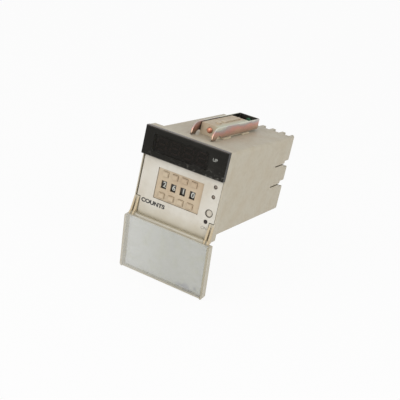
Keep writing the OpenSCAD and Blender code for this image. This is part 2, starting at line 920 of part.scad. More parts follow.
module clip_block() {
    top = strap_top - 2 * pass;
    rib_h = 0.9;
    rib_r = 2;
    rib_ends = [[nut_y + 3, nut_y + 6], [nut_y + 13, block_rear - 2.5 * rib_r]];
    foot_l = 12;
    foot_half = strap_w / 2 + 1.4;
    foot_front = 5;
    foot_rear = 2;
    toe_z = case_in - fit - toe_l;
    color("#C8B9A5")
        difference() {
            union() {
                between([-clip_half, block_front, half_case], [clip_half, block_rear, top]);
                for (ends = rib_ends)
                    translate([0, 0, top - lap])
                        linear_extrude(rib_h + lap) {
                            translate([-rib_r, ends[0]]) square([2 * rib_r, ends[1] - ends[0]]);
                            for (y = ends)
                                translate([0, y]) circle(rib_r);
                        }
                for (y = [block_front + foot_front, block_rear - foot_l - foot_rear])
                    between([-foot_half, y, half_case], [foot_half, y + foot_l, half_case + foot_t]);
                for (y = hook_ys) {
                    between([-hook_half, y, toe_z], [hook_half, y + hook_l, half_case + eps]);
                    between([-hook_half, y - toe_l, toe_z], [hook_half, y + lap, toe_z + toe_l]);
                }
            }
            translate([0, 0, clamp_z]) rod_y(block_front - eps, block_rear + eps, clamp_r + 4 * run);
            between([-nut_half - fit, nut_y - fit, half_case - eps],
                    [nut_half + fit, nut_y + nut_t + fit, clamp_z + nut_half + fit]);
        }
}

module clip_nut() {
    color("silver")
        difference() {
            between([-nut_half, nut_y, clamp_z - nut_half], [nut_half, nut_y + nut_t, clamp_z + nut_half]);
            translate([0, 0, clamp_z]) rod_y(nut_y - eps, nut_y + nut_t + eps, clamp_r + run);
        }
}

// Side view of the strap: a straight side that ends in a hooked prong
module strap_side() {
    tip_w = 6;
    arch_r = 5.2;
    arch_drop = 2.2;
    bend = [prong_y + prong_r, strap_top - prong_r];
    difference() {
        union() {
            translate([bend[0], strap_low]) square([strap_rear - bend[0], strap_h]);
            intersection() {
                translate(bend) circle(prong_r);
                translate([prong_y - eps, strap_low]) square([prong_r + 2 * eps, strap_h]);
            }
            translate([prong_y, half_case + pass]) square([prong_r, strap_low - half_case]);
        }
        translate([prong_y + tip_w + arch_r, half_case - arch_drop]) circle(arch_r);
        translate([prong_y + tip_w + arch_r, half_case - eps])
            square([strap_rear, strap_low - half_case + eps]);
    }
}

module clip_strap() {
    bend_r = 1.6;
    color(steel)
        difference() {
            intersection() {
                along_x(-strap_w, strap_w) strap_side();
                linear_extrude(strap_top + eps)
                    difference() {
                        translate([0, strap_rear / 2]) rounded(strap_w, strap_rear, bend_r);
                        translate([0, strap_rear / 2 - strap_t])
                            rounded(strap_w - 2 * strap_t, strap_rear, bend_r - strap_t);
                    }
            }
            translate([0, 0, clamp_z]) rod_y(strap_rear - 2 * strap_t, strap_rear + eps, clamp_r + 2 * run);
        }
}

module clip_screw() {
    head_t = 2.4;
    head = strap_rear + head_t;
    slot_half = 0.5;
    slot_d = 1.4;
    slot_l = 2.2;
    point = 0.6;
    collar_t = 0.8;
    collar_r = clamp_r + 1.2;
    collar_y = strap_rear - strap_t - collar_t - fit;
    color(copper)
        translate([0, 0, clamp_z])
            difference() {
                union() {
                    cone_y(clamp_tip, clamp_tip + point, clamp_r - point, clamp_r);
                    rod_y(clamp_tip + point, strap_rear + lap, clamp_r);
                    rod_y(collar_y, collar_y + collar_t, collar_r);
                    rod_y(strap_rear, head, clamp_head_r);
                }
                for (a = [0, 90])
                    rotate([0, a, 0])
                        between([-slot_half, head - slot_d, -slot_l], [slot_half, head + eps, slot_l]);
            }
}

case();
front_frame();
front_panel();
display_window();
display_digits();
front_board();
board_screws();
cover();
switch_frame();
switch_back();
wheel_axle();
for (i = [0 : digits - 1]) {
    digit_wheel(i);
    push_button(i, 1);
    push_button(i, -1);
}
reset_button();
reset_switch();
upper_lamp();
lower_lamp();
supply_lamp();
main_board();
logic_chips();
output_relay();
power_board();
transformer_core();
transformer_coil();
capacitors();
terminal_block();
terminal_clamps();
terminal_screws();
clip_block();  // upper_clip_block
clip_nut();  // upper_clip_nut
clip_strap();  // upper_clip_strap
clip_screw();  // upper_clip_screw
mirror([0, 0, 1]) clip_block();  // lower_clip_block
mirror([0, 0, 1]) clip_nut();  // lower_clip_nut
mirror([0, 0, 1]) clip_strap();  // lower_clip_strap
mirror([0, 0, 1]) clip_screw();  // lower_clip_screw
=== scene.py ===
"""Looks of a panel-mounted preset counter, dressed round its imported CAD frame."""

import json
import math

import bmesh
import bpy
from mathutils import Matrix, Vector


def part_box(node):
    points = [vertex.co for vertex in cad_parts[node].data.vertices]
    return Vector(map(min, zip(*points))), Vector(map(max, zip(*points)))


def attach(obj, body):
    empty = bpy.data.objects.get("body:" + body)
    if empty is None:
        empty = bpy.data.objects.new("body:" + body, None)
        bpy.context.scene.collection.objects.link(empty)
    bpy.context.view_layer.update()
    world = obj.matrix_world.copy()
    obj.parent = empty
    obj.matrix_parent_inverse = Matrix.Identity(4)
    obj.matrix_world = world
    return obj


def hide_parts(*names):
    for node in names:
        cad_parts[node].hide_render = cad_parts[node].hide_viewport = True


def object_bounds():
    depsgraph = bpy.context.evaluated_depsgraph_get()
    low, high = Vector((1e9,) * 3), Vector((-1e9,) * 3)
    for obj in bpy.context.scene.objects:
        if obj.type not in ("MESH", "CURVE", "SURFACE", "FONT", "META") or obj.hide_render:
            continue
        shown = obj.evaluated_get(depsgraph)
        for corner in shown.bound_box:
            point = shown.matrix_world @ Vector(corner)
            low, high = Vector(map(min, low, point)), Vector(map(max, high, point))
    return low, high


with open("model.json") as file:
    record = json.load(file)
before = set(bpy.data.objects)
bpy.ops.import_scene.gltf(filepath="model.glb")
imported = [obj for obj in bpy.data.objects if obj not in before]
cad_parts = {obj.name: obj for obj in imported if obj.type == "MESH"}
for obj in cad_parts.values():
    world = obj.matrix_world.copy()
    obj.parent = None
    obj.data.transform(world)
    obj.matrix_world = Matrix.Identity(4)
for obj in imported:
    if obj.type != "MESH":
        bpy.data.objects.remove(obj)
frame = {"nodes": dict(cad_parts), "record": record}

bl_info = {
    "name": "Preset panel counter",
    "version": (1, 0, 0),
    "blender": (4, 5, 0),
    "location": "View3D > Sidebar > Counter",
    "description": "Finishes, marks and stage of a panel-mounted preset counter",
    "category": "Object",
}

MM = 0.001
NODES = frame["nodes"]
JOINTS = {joint["name"]: joint for joint in frame["record"]["behaviour"]["joints"]}
CAD_BOX = [list(corner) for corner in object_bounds()]
# Digits that the switch shows at rest, from the left
SHOWN_DIGITS = (2, 6, 1, 0)
# Digits round each wheel
WHEEL_DIGITS = 10
# Terminals in each of the two rows
ROW_TERMINALS = 7
# The ring round the supply lamp stands out of the front panel's face by this much
RING_H = 0.3 * MM
# Turns of flat lettering that is read from the front and from the rear
FRONT = Matrix(((1, 0, 0, 0), (0, 0, -1, 0), (0, 1, 0, 0), (0, 0, 0, 1)))
REAR = Matrix(((-1, 0, 0, 0), (0, 0, 1, 0), (0, 1, 0, 0), (0, 0, 0, 1)))


def linear(code):
    """Linear colour of an sRGB hex value."""
    shares = [int(code[i : i + 2], 16) / 255 for i in (0, 2, 4)]
    return tuple(s / 12.92 if s <= 0.04045 else ((s + 0.055) / 1.055) ** 2.4 for s in shares)


def swatch(name, description, code):
    """A colour that a user can change."""
    return bpy.props.FloatVectorProperty(
        name=name, description=description, subtype="COLOR", min=0, max=1, default=linear(code)
    )


def length(name, description, size):
    """A length in millimetres that a user can change."""
    return bpy.props.FloatProperty(name=name, description=description, unit="LENGTH", default=size * MM)


class CounterSizes(bpy.types.PropertyGroup):
    """Sizes of the marks and of the softened edges."""

    mould_edge: length("Mould edge", "Radius that a mould leaves on plastic edges", 0.35)
    sheet_edge: length("Sheet edge", "Radius that tumbling leaves on steel edges", 0.2)
    digit_h: length("Digit height", "Height of the digits on the wheels", 4.4)
    word_w: length("Word width", "Width of the word on the front", 21.5)
    word_h: length("Word height", "Height of the word on the front", 3.5)
    word_x: length("Word across", "Place of the word across the front", -19)
    word_z: length("Word level", "Height at which the word stands", -23)
    sign_x: length("Sign across", "Place of the sign across the window", 26.4)
    sign_z: length("Sign level", "Height at which the sign stands", 27.5)
    number_h: length("Number height", "Height of the terminal numbers", 2.4)
    ink_t: length("Ink thickness", "Thickness of printed ink", 0.03)
    thread_pitch: length("Thread pitch", "Pitch of the clamp screws", 0.7)


class CounterColours(bpy.types.PropertyGroup):
    """Colours of the finishes."""

    case: swatch("Case", "Beige ABS of the case and the front frame", "BDB5A2")
    case_aged: swatch("Aged case", "The same where light has yellowed it", "B9AE98")
    bracket: swatch("Brackets", "The same on the handled hinge brackets", "C2AF8D")
    panel: swatch("Panel", "Cream ABS of the front panel", "D5D0C5")
    panel_aged: swatch("Aged panel", "The same where hands have dulled it", "CAC2B3")
    # Darker and yellower towards the panel's lower edge
    panel_low: swatch("Lower panel", "The same along its lower edge", "B5AB91")
    # Painted shade on the front panel's surfaces that lie deeper than its face
    recess: swatch("Recesses", "Painted shade in the recesses of the front panel", "453E35")
    switch: swatch("Switch", "Peach ABS of the digit switch", "C6B59B")
    switch_aged: swatch("Aged switch", "The same where it has darkened", "BAA488")
    clip: swatch("Clip block", "Beige nylon of the clip blocks", "C6B79D")
    clip_aged: swatch("Aged clip block", "The same in its hollows", "B9A68C")
    # Painted reflection of the plated strap on the clip blocks
    clip_pale: swatch("Clip block reflection", "The same with a painted reflection of the plated strap", "C3C7AE")
    window: swatch("Window", "Smoked acrylic of the display window", "15130D")
    window_haze: swatch("Window haze", "Rubbed places of the window", "6A6862")
    # Painted highlight on the window's top face
    window_lip: swatch("Window lip", "Upper edge of the window, with a brown painted highlight", "544B44")
    cover: swatch("Cover", "Clear polycarbonate of the cover", "848570")
    cover_rim: swatch("Cover rim", "The same seen along its walls, yellowed", "B8AE95")
    wheel: swatch("Wheel", "Black ABS of the digit wheels", "272420")
    digit_ink: swatch("Digits", "White ink of the digits", "C9CAC2")
    dark_ink: swatch("Dark ink", "Ink of the marks on the front", "2C2926")
    zinc_rose: swatch("Rose chromate", "Rose bloom on the plated straps", "D39A8E")
    zinc_tan: swatch("Tan chromate", "Tan ground of the plated straps", "D5B197")
    zinc_blue: swatch("Blue chromate", "Blue-grey bloom on the plated straps", "B0AEAE")
    # Painted highlight on the edges of the plated straps
    zinc_edge: swatch("Chromate edge highlight", "Pale edges of the plated straps", "D3D2C3")
    # Painted shade in the hollows of the plated straps
    zinc_hollow: swatch("Hollow", "Painted shade in the hollows of the plated straps", "1A1E17")
    copper: swatch("Copper", "Copper coloured plating of the clamp screws", "E8A88C")
    copper_dark: swatch("Dark copper", "The same where it has tarnished", "BC7860")
    # Partly a green chromate tint, mostly painted shade, on the screw heads deep inside the straps
    olive: swatch("Olive", "Dark olive, chromate tint and painted shade, at the heads of the clamp screws", "2F4A38")
    zinc: swatch("Zinc", "Zinc plating of the small screws", "C4C6C8")
    brass: swatch("Brass", "Nickelled brass of the terminal clamps", "CDB27A")
    block: swatch("Terminal block", "Dark phenolic of the terminal block", "3A3733")
    lens: swatch("Lens", "Milky acrylic of the status lamps", "94867A")
    dark_lens: swatch("Dark lens", "Dark red acrylic of the supply lamp", "241414")
    mask: swatch("Solder mask", "Green mask of the circuit boards", "2F6B45")


class CounterStage(bpy.types.PropertyGroup):
    """Camera, floor and light."""

    lens: bpy.props.FloatProperty(
        name="Lens", description="Focal length", subtype="DISTANCE_CAMERA", default=79.7
    )
    eye: bpy.props.FloatVectorProperty(
        name="Eye", description="Place of the camera", subtype="TRANSLATION", unit="LENGTH",
        default=(0.28739, -0.57518, 0.19568),
    )
    gaze: bpy.props.FloatVectorProperty(
        name="Gaze", description="Direction that the camera looks in", subtype="DIRECTION",
        default=(-0.40582, 0.86098, -0.30664),
    )
    right: bpy.props.FloatVectorProperty(
        name="Right", description="Direction to the right in the picture", subtype="DIRECTION",
        default=(0.85226, 0.47767, 0.21328),
    )
    floor: swatch("Floor", "Pale floor", "EDEDEC")
    ambient: bpy.props.FloatProperty(name="Ambient", description="Light from all round", default=0.56)
    key: bpy.props.FloatProperty(
        name="Key", description="Power of the main lamp", unit="POWER", default=4.5
    )
    fill: bpy.props.FloatProperty(
        name="Fill", description="Power of the lamp at the right", unit="POWER", default=3.3
    )


def scale_of(size):
    """Scale of a pattern whose features are a number of millimetres apart."""
    return 1 / (size * MM)


def feed(tree, node, inputs):
    """Links or sets a node's inputs, by name or number; a node passes on the first output in use."""
    for socket, value in inputs.items():
        if isinstance(value, bpy.types.Node):
            value = next(output for output in value.outputs if output.enabled)
        if isinstance(value, bpy.types.NodeSocket):
            tree.links.new(value, node.inputs[socket])
        else:
            node.inputs[socket].default_value = value


def add(tree, kind, inputs=(), **settings):
    """Adds a node with its settings and feeds its inputs."""
    made = tree.nodes.new(kind)
    for setting, value in settings.items():
        setattr(made, setting, value)
    feed(tree, made, dict(inputs))
    return made


def opaque(colour):
    """A colour with the alpha that a socket needs."""
    return (*colour, 1)


def toned(colour, share):
    """A colour made darker or paler by a share, at most white."""
    return [min(1, channel * share) for channel in colour]


def new_finish(name, inputs):
    """A new material with these inputs of its shader set: (material, tree, shader)."""
    finish = bpy.data.materials.new(name)
    finish.use_nodes = True
    tree = finish.node_tree
    shader = tree.nodes["Principled BSDF"]
    feed(tree, shader, inputs)
    return finish, tree, shader


def moulded_plastic(name, fresh, aged, rough, ior=1.53, corner_shade=0.5, tints=()):
    """ABS or nylon from a spark-eroded mould: satin and grained, yellowed in patches and smudged, with
    painted shade in its corners.

    Each tint is (colour, axis, start, end): the colour fades in along an axis between two places.
    """
    finish, tree, shader = new_finish(name, {"IOR": ior})
    place = add(tree, "ShaderNodeTexCoord").outputs["Object"]
    patches = add(tree, "ShaderNodeTexNoise", {"Vector": place, "Scale": scale_of(16), "Detail": 5.0})
    smudges = add(tree, "ShaderNodeTexNoise", {"Vector": place, "Scale": scale_of(3), "Detail": 4.0})
    # The real grain is about 0.1 mm, drawn at 0.8 mm so that it shows
    grain = add(tree, "ShaderNodeTexNoise", {"Vector": place, "Scale": scale_of(0.8), "Detail": 2.0})
    shade = add(tree, "ShaderNodeAmbientOcclusion", {"Distance": 3 * MM}, samples=8)
    # Darker colour, for the real smudges and for the painted shade in corners
    dirt_and_shade = opaque(toned(aged, 0.55))
    patch_share = add(tree, "ShaderNodeMapRange", {"Value": patches, "From Min": 0.38, "From Max": 0.68})
    yellowed = add(
        tree, "ShaderNodeMix", {0: patch_share, 6: opaque(fresh), 7: opaque(aged)}, data_type="RGBA"
    )
    smudge_share = add(
        tree, "ShaderNodeMapRange", {"Value": smudges, "From Min": 0.52, "From Max": 0.85, "To Max": 0.14}
    )
    smudged = add(tree, "ShaderNodeMix", {0: smudge_share, 6: yellowed, 7: dirt_and_shade}, data_type="RGBA")
    # Painted shade: darker where ambient occlusion finds corners and recesses
    corner_shade_share = add(
        tree,
        "ShaderNodeMapRange",
        {"Value": shade.outputs["AO"], "From Min": 0.25, "From Max": 0.85, "To Min": corner_shade, "To Max": 0.0},
    )
    shown = add(tree, "ShaderNodeMix", {0: corner_shade_share, 6: smudged, 7: dirt_and_shade}, data_type="RGBA")
    for colour, axis, start, end in tints:
        axes = add(tree, "ShaderNodeSeparateXYZ", {"Vector": place})
        tint_share = add(
            tree,
            "ShaderNodeMapRange",
            {"Value": axes.outputs[axis], "From Min": start, "From Max": end, "To Max": 0.85},
        )
        shown = add(tree, "ShaderNodeMix", {0: tint_share, 6: shown, 7: opaque(colour)}, data_type="RGBA")
    gloss = add(
        tree,
        "ShaderNodeMapRange",
        {"Value": smudges, "From Min": 0.3, "From Max": 0.7, "To Min": rough - 0.08, "To Max": rough + 0.1},
    )
    bump = add(tree, "ShaderNodeBump", {"Height": grain, "Strength": 0.22, "Distance": 0.06 * MM})
    feed(tree, shader, {"Base Color": shown, "Roughness": gloss, "Normal": bump})
    return finish


def smoked_acrylic(name, smoke, haze, lip, top, view_low, view_high):
    """Acrylic dyed grey and polished: near black with a clear gloss, hazed and nicked where hands reach."""
    clean_x = -10 * MM
    hazed_x = 36 * MM
    whole_z = 20.5 * MM
    knocked_z = 15 * MM
    finish, tree, shader = new_finish(name, {"IOR": 1.49, "Specular IOR Level": 0.2})
    place = add(tree, "ShaderNodeTexCoord").outputs["Object"]
    wiped = add(tree, "ShaderNodeMapping", {"Vector": place, "Rotation": (0, 0.5, 0), "Scale": (1, 1, 7)})
    rubs = add(tree, "ShaderNodeTexNoise", {"Vector": wiped, "Scale": scale_of(9), "Detail": 8.0})
    clouds = add(tree, "ShaderNodeTexNoise", {"Vector": place, "Scale": scale_of(14), "Detail": 3.0})
    axes = add(tree, "ShaderNodeSeparateXYZ", {"Vector": place})
    # Hands reach the window's lower right corner first, so the haze grows towards it
    corner = add(
        tree,
        "ShaderNodeMapRange",
        {"Value": axes.outputs["X"], "From Min": clean_x, "From Max": hazed_x, "To Min": 0.25},
    )
    rub_share = add(
        tree, "ShaderNodeMapRange", {"Value": rubs, "From Min": 0.5, "From Max": 0.75, "To Max": 0.5}
    )
    cloud_share = add(
        tree, "ShaderNodeMapRange", {"Value": clouds, "From Min": 0.4, "From Max": 0.7, "To Max": 0.45}
    )
    both = add(tree, "ShaderNodeMath", {0: rub_share, 1: cloud_share}, operation="ADD")
    share = add(tree, "ShaderNodeMath", {0: both, 1: corner}, operation="MULTIPLY")
    # Knocks leave pale flecks along the lower edge
    nicks = add(tree, "ShaderNodeTexNoise", {"Vector": place, "Scale": scale_of(2.2), "Detail": 6.0})
    nick_share = add(tree, "ShaderNodeMapRange", {"Value": nicks, "From Min": 0.56, "From Max": 0.65})
    edge = add(
        tree, "ShaderNodeMapRange", {"Value": axes.outputs["Z"], "From Min": whole_z, "From Max": knocked_z}
    )
    low_nicks = add(tree, "ShaderNodeMath", {0: nick_share, 1: edge}, operation="MULTIPLY")
    rubbed = add(tree, "ShaderNodeMath", {0: share, 1: 0.11}, operation="MULTIPLY")
    worn = add(tree, "ShaderNodeMath", {0: low_nicks, 1: corner, 2: rubbed}, operation="MULTIPLY_ADD")
    marked = add(tree, "ShaderNodeMix", {0: worn, 6: opaque(smoke), 7: opaque(haze)}, data_type="RGBA")
    # Painted highlight: the top face of the window is made paler and brown
    upper = add(
        tree,
        "ShaderNodeMapRange",
        {"Value": axes.outputs["Z"], "From Min": top - 0.5 * MM, "From Max": top - 0.25 * MM},
    )
    colour = add(tree, "ShaderNodeMix", {0: upper, 6: marked, 7: opaque(lip)}, data_type="RGBA")
    # Painted black behind its border, so that only the display shows through
    middle = (view_low + view_high) / 2
    half = (view_high - view_low) / 2
    body = 0.0
    for axis, centre, reach in (("X", middle.x, half.x), ("Z", middle.z, half.z)):
        off = add(tree, "ShaderNodeMath", {0: axes.outputs[axis], 1: centre}, operation="SUBTRACT")
        away = add(tree, "ShaderNodeMath", {0: off}, operation="ABSOLUTE")
        outside = add(
            tree,
            "ShaderNodeMapRange",
            {"Value": away, "From Min": reach, "From Max": reach + 1 * MM, "To Min": 0.62, "To Max": 0.97},
        )
        body = add(tree, "ShaderNodeMath", {0: body, 1: outside}, operation="MAXIMUM")
    rough = add(tree, "ShaderNodeMapRange", {"Value": share, "To Min": 0.1, "To Max": 0.42})
    feed(tree, shader, {"Base Color": colour, "Alpha": body, "Roughness": rough})
    return finish


def clear_polycarbonate(name, clear, rim, low, high):
    """Clear polycarbonate, polished in its mould: see-through, milky with scuffs, yellow along its walls."""
    finish, tree, shader = new_finish(name, {"IOR": 1.585})
    place = add(tree, "ShaderNodeTexCoord").outputs["Object"]
    axes = add(tree, "ShaderNodeSeparateXYZ", {"Vector": place})
    side = add(tree, "ShaderNodeMath", {0: axes.outputs["X"]}, operation="ABSOLUTE")
    # The side walls, the far wall and the strip along the hinge
    wall = 0.0
    for value, start, end in (
        (side, high.x - 2.4 * MM, high.x - 1.6 * MM),
        (axes.outputs["Z"], low.z + 1.9 * MM, low.z + 1.1 * MM),
        (axes.outputs["Z"], high.z - 5.6 * MM, high.z - 4.8 * MM),
    ):
        band = add(tree, "ShaderNodeMapRange", {"Value": value, "From Min": start, "From Max": end})
        wall = add(tree, "ShaderNodeMath", {0: wall, 1: band}, operation="MAXIMUM")
    rubs = add(tree, "ShaderNodeTexNoise", {"Vector": place, "Scale": scale_of(7), "Detail": 7.0})
    wiped = add(tree, "ShaderNodeMapping", {"Vector": place, "Rotation": (0, 0.4, 0), "Scale": (1, 1, 9)})
    # Real scratches are hair thin, drawn about 0.7 mm wide so that they show
    scratches = add(tree, "ShaderNodeTexNoise", {"Vector": wiped, "Scale": scale_of(6), "Detail": 3.0})
    rub_share = add(tree, "ShaderNodeMapRange", {"Value": rubs, "From Min": 0.45, "From Max": 0.95})
    scratch_share = add(tree, "ShaderNodeMapRange", {"Value": scratches, "From Min": 0.6, "From Max": 0.9})
    scuffs = add(tree, "ShaderNodeMath", {0: rub_share, 1: scratch_share}, operation="MAXIMUM")
    milky = opaque(toned(clear, 1.9))
    face = add(tree, "ShaderNodeMix", {0: scuffs, 6: opaque(clear), 7: milky}, data_type="RGBA")
    walled = add(tree, "ShaderNodeMix", {0: wall, 6: face, 7: opaque(rim)}, data_type="RGBA")
    # Fingers open the cover by its far right edge, and leave grease there
    smears = add(tree, "ShaderNodeTexNoise", {"Vector": place, "Scale": scale_of(6), "Detail": 5.0})
    smear_share = add(tree, "ShaderNodeMapRange", {"Value": smears, "From Min": 0.47, "From Max": 0.58})
    far = add(
        tree,
        "ShaderNodeMapRange",
        {"Value": axes.outputs["Z"], "From Min": low.z + 9 * MM, "From Max": low.z + 5 * MM},
    )
    right = add(
        tree, "ShaderNodeMapRange", {"Value": axes.outputs["X"], "From Min": 8 * MM, "From Max": 16 * MM}
    )
    reached = add(tree, "ShaderNodeMath", {0: far, 1: right}, operation="MULTIPLY")
    inner = add(tree, "ShaderNodeMath", {0: 1.0, 1: wall}, operation="SUBTRACT")
    grip = add(tree, "ShaderNodeMath", {0: reached, 1: inner}, operation="MULTIPLY")
    smear = add(tree, "ShaderNodeMath", {0: smear_share, 1: grip}, operation="MULTIPLY")
    grease = opaque(toned(clear, 0.2))
    colour = add(tree, "ShaderNodeMix", {0: smear, 6: walled, 7: grease}, data_type="RGBA")
    edge = add(tree, "ShaderNodeLayerWeight", {"Blend": 0.35})
    glance = add(
        tree,
        "ShaderNodeMapRange",
        {"Value": edge.outputs["Facing"], "From Min": 0.35, "To Min": 0.39, "To Max": 0.62},
    )
    scuffed = add(tree, "ShaderNodeMath", {0: scuffs, 1: 0.13, 2: glance}, operation="MULTIPLY_ADD")
    # Less handled, and so clearer, towards the left
    clean = add(
        tree,
        "ShaderNodeMapRange",
        {"Value": axes.outputs["X"], "From Min": low.x, "From Max": 5 * MM, "To Min": -0.1, "To Max": 0.0},
    )
    cleaned = add(tree, "ShaderNodeMath", {0: scuffed, 1: clean}, operation="ADD")
    body = add(tree, "ShaderNodeMath", {0: wall, 1: 0.22, 2: cleaned}, operation="MULTIPLY_ADD")
    rough = add(tree, "ShaderNodeMapRange", {"Value": scuffs, "To Min": 0.3, "To Max": 0.5})
    feed(tree, shader, {"Base Color": colour, "Alpha": body, "Roughness": rough})
    return finish


def chromated_steel(name, rose, tan, blue, pale, hollow_shade, low, high, end):
    """Pressed steel, zinc plated and chromated: a soft metal sheen that drifts from tan to rose and grey.

    Its edges carry a pale painted highlight and its hollows painted shade, most of all inside and behind the
    end of the block.
    """
    finish, tree, shader = new_finish(name, {"Metallic": 0.75})
    place = add(tree, "ShaderNodeTexCoord").outputs["Object"]
    long = add(tree, "ShaderNodeMapping", {"Vector": place, "Scale": (1, 0.4, 1)})
    bloom = add(tree, "ShaderNodeTexNoise", {"Vector": long, "Scale": scale_of(6), "Detail": 4.0})
    axes = add(tree, "ShaderNodeSeparateXYZ", {"Vector": place})
    out = add(tree, "ShaderNodeMath", {0: axes.outputs["Z"]}, operation="ABSOLUTE")
    height = add(tree, "ShaderNodeMapRange", {"Value": out, "From Min": low.z, "From Max": high.z})
    drift = add(
        tree,
        "ShaderNodeMapRange",
        {"Value": bloom, "From Min": 0.3, "From Max": 0.7, "To Min": -0.22, "To Max": 0.22},
    )
    level = add(tree, "ShaderNodeMath", {0: height, 1: drift}, operation="ADD")
    rolled = add(tree, "ShaderNodeMapping", {"Vector": place, "Scale": (1, 0.06, 1)})
    # Rolling marks of the sheet are finer than 0.1 mm, drawn at 0.5 mm so that they show
    marks = add(tree, "ShaderNodeTexNoise", {"Vector": rolled, "Scale": scale_of(0.5), "Detail": 2.0})
    # The chromate is thinnest at the open edge, so its colour runs from tan over rose and grey; the pale at
    # the top is a painted highlight
    shown = opaque(tan)
    for colour, first, last in ((rose, 0.25, 0.65), (blue, 0.6, 0.95), (pale, 0.9, 1.05)):
        share = add(tree, "ShaderNodeMapRange", {"Value": level, "From Min": first, "From Max": last})
        shown = add(tree, "ShaderNodeMix", {0: share, 6: shown, 7: opaque(colour)}, data_type="RGBA")
    # Painted highlight: pale along the edges, found with a bevelled normal
    rounded = add(tree, "ShaderNodeBevel", {"Radius": 0.55 * MM}, samples=6)
    flat = add(tree, "ShaderNodeNewGeometry").outputs["Normal"]
    turn = add(tree, "ShaderNodeVectorMath", {0: rounded, 1: flat}, operation="DOT_PRODUCT")
    edge_highlight_share = add(
        tree, "ShaderNodeMapRange", {"Value": turn, "From Min": 0.98, "From Max": 0.8, "To Max": 0.85}
    )
    # The painted edge highlight mixed onto the chromate
    worn = add(tree, "ShaderNodeMix", {0: edge_highlight_share, 6: shown, 7: opaque(pale)}, data_type="RGBA")
    # Painted shade: dark where ambient occlusion finds hollows, and inside the strap behind the end of the
    # block
    shade = add(tree, "ShaderNodeAmbientOcclusion", {"Distance": 14 * MM}, samples=8)
    behind = add(
        tree,
        "ShaderNodeMapRange",
        {"Value": axes.outputs["Y"], "From Min": end, "From Max": end + 1 * MM, "To Max": 0.4},
    )
    across = add(tree, "ShaderNodeMath", {0: axes.outputs["X"]}, operation="ABSOLUTE")
    inside = add(
        tree,
        "ShaderNodeMapRange",
        {"Value": across, "From Min": high.x - 0.4 * MM, "From Max": high.x - 0.8 * MM},
    )
    dark = add(tree, "ShaderNodeMath", {0: behind, 1: inside}, operation="MULTIPLY")
    open_share = add(tree, "ShaderNodeMath", {0: shade.outputs["AO"], 1: dark}, operation="SUBTRACT")
    hollow_shade_share = add(
        tree,
        "ShaderNodeMapRange",
        {"Value": open_share, "From Min": 0.4, "From Max": 0.74, "To Min": 0.95, "To Max": 0.0},
    )
    colour = add(tree, "ShaderNodeMix", {0: hollow_shade_share, 6: worn, 7: opaque(hollow_shade)}, data_type="RGBA")
    rough = add(
        tree,
        "ShaderNodeMapRange",
        {"Value": marks, "From Min": 0.3, "From Max": 0.7, "To Min": 0.34, "To Max": 0.5},
    )
    bump = add(tree, "ShaderNodeBump", {"Height": marks, "Strength": 0.12, "Distance": 0.03 * MM})
    feed(tree, shader, {"Base Color": colour, "Roughness": rough, "Normal": bump})
    return finish


def plated_metal(name, bright, dull, rough, size, head=None, head_y=0.0):
    """Turned or stamped metal with bright plating: a clear sheen, tarnished in spots.

    Behind a depth it takes another colour, if one is given: there a green chromate tint with painted shade.
    """
    finish, tree, shader = new_finish(name, {"Metallic": 1.0})
    place = add(tree, "ShaderNodeTexCoord").outputs["Object"]
    spots = add(tree, "ShaderNodeTexNoise", {"Vector": place, "Scale": scale_of(size), "Detail": 5.0})
    spot_share = add(tree, "ShaderNodeMapRange", {"Value": spots, "From Min": 0.45, "From Max": 0.72})
    colour = add(tree, "ShaderNodeMix", {0: spot_share, 6: opaque(bright), 7: opaque(dull)}, data_type="RGBA")
    # Painted shade, tinted olive, over the part behind a depth
    if head:
        axes = add(tree, "ShaderNodeSeparateXYZ", {"Vector": place})
        head_shade_share = add(
            tree,
            "ShaderNodeMapRange",
            {"Value": axes.outputs["Y"], "From Min": head_y - 10 * MM, "From Max": head_y},
        )
        colour = add(tree, "ShaderNodeMix", {0: head_shade_share, 6: colour, 7: opaque(head)}, data_type="RGBA")
    gloss = add(
        tree,
        "ShaderNodeMapRange",
        {"Value": spots, "From Min": 0.3, "From Max": 0.7, "To Min": rough, "To Max": rough + 0.2},
    )
    bump = add(tree, "ShaderNodeBump", {"Height": spots, "Strength": 0.08, "Distance": 0.04 * MM})
    feed(tree, shader, {"Base Color": colour, "Roughness": gloss, "Normal": bump})
    return finish


def printed_ink(name, colour, paper):
    """Screen-printed ink: matt and even, worn thin in spots so that the ground shows."""
    finish, tree, shader = new_finish(name, {"IOR": 1.5})
    place = add(tree, "ShaderNodeTexCoord").outputs["Object"]
    wear = add(tree, "ShaderNodeTexNoise", {"Vector": place, "Scale": scale_of(0.9), "Detail": 4.0})
    share = add(tree, "ShaderNodeMapRange", {"Value": wear, "From Min": 0.52, "From Max": 0.8, "To Max": 0.5})
    mixed = add(tree, "ShaderNodeMix", {0: share, 6: opaque(colour), 7: opaque(paper)}, data_type="RGBA")
    rough = add(tree, "ShaderNodeMapRange", {"Value": wear, "To Min": 0.45, "To Max": 0.7})
    feed(tree, shader, {"Base Color": mixed, "Roughness": rough})
    return finish


def masked_laminate(name, mask):
    """Glass laminate under green solder mask: glossy, with the copper tracks showing as paler bands."""
    finish, tree, shader = new_finish(name, {"IOR": 1.55})
    place = add(tree, "ShaderNodeTexCoord").outputs["Object"]
    turned = add(tree, "ShaderNodeMapping", {"Vector": place, "Rotation": (0, math.pi / 2, 0)})
    tracks = add(
        tree,
        "ShaderNodeTexBrick",
        {
            "Vector": turned,
            "Color1": opaque(toned(mask, 1.5)),
            "Color2": opaque(toned(mask, 1.3)),
            "Mortar": opaque(mask),
            "Scale": scale_of(8),
            "Mortar Size": 0.02,
        },
    )
    weave = add(tree, "ShaderNodeTexNoise", {"Vector": place, "Scale": scale_of(1.2), "Detail": 3.0})
    rough = add(tree, "ShaderNodeMapRange", {"Value": weave, "To Min": 0.25, "To Max": 0.55})
    feed(tree, shader, {"Base Color": tracks, "Roughness": rough})
    return finish


